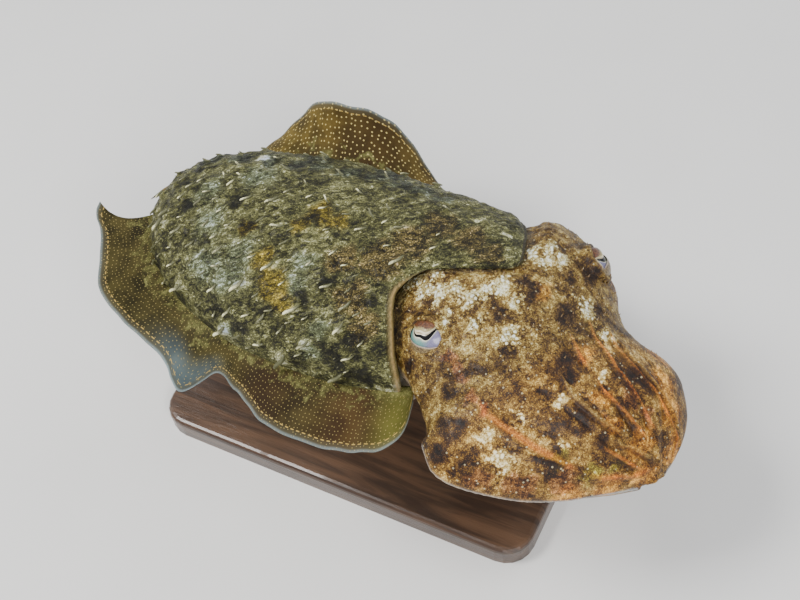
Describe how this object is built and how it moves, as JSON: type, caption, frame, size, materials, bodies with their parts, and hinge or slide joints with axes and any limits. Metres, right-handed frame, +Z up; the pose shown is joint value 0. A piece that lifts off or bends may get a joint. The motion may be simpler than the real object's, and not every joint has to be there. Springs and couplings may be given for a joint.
{
  "type": "common cuttlefish display model",
  "caption": "Life-size still model of a common cuttlefish hovering with its head turned to the right, on a plain flat base with short rods.",
  "frame": {"origin": "middle of the underside of the stand's base", "axes": "+Z up; +Y from the head towards the tail along the base; +X towards the animal's left side"},
  "size_m": [0.1709, 0.3017, 0.1306],
  "materials": {
    "mantle_skin": "mottled dark grey-brown skin with pale papillae, slightly wet",
    "head_skin": "mottled brown skin with white patches and fine cream dots",
    "arm_skin": "orange-brown skin with cream dots and pale edges",
    "fin_membrane": "thin olive-brown membrane with small pale dots",
    "funnel_skin": "pale smooth skin",
    "eye": "glossy silvery eye with a curved black pupil",
    "stand_wood": "dark satin lacquer",
    "stand_steel": "brushed"
  },
  "bodies": {
    "root": {"mantle": "mantle_skin", "head": "head_skin", "funnel": "funnel_skin", "eye_left": "eye", "eye_right": "eye", "arm_left_1": "arm_skin", "arm_left_2": "arm_skin", "arm_left_3": "arm_skin", "arm_left_4": "arm_skin", "arm_right_1": "arm_skin", "arm_right_2": "arm_skin", "arm_right_3": "arm_skin", "arm_right_4": "arm_skin", "fin_left_front": "fin_membrane", "fin_left_rear": "fin_membrane", "fin_right_front": "fin_membrane", "fin_right_rear": "fin_membrane", "stand_base": "stand_wood", "stand_rod_front": "stand_steel", "stand_rod_rear": "stand_steel"}
  },
  "joints": []
}
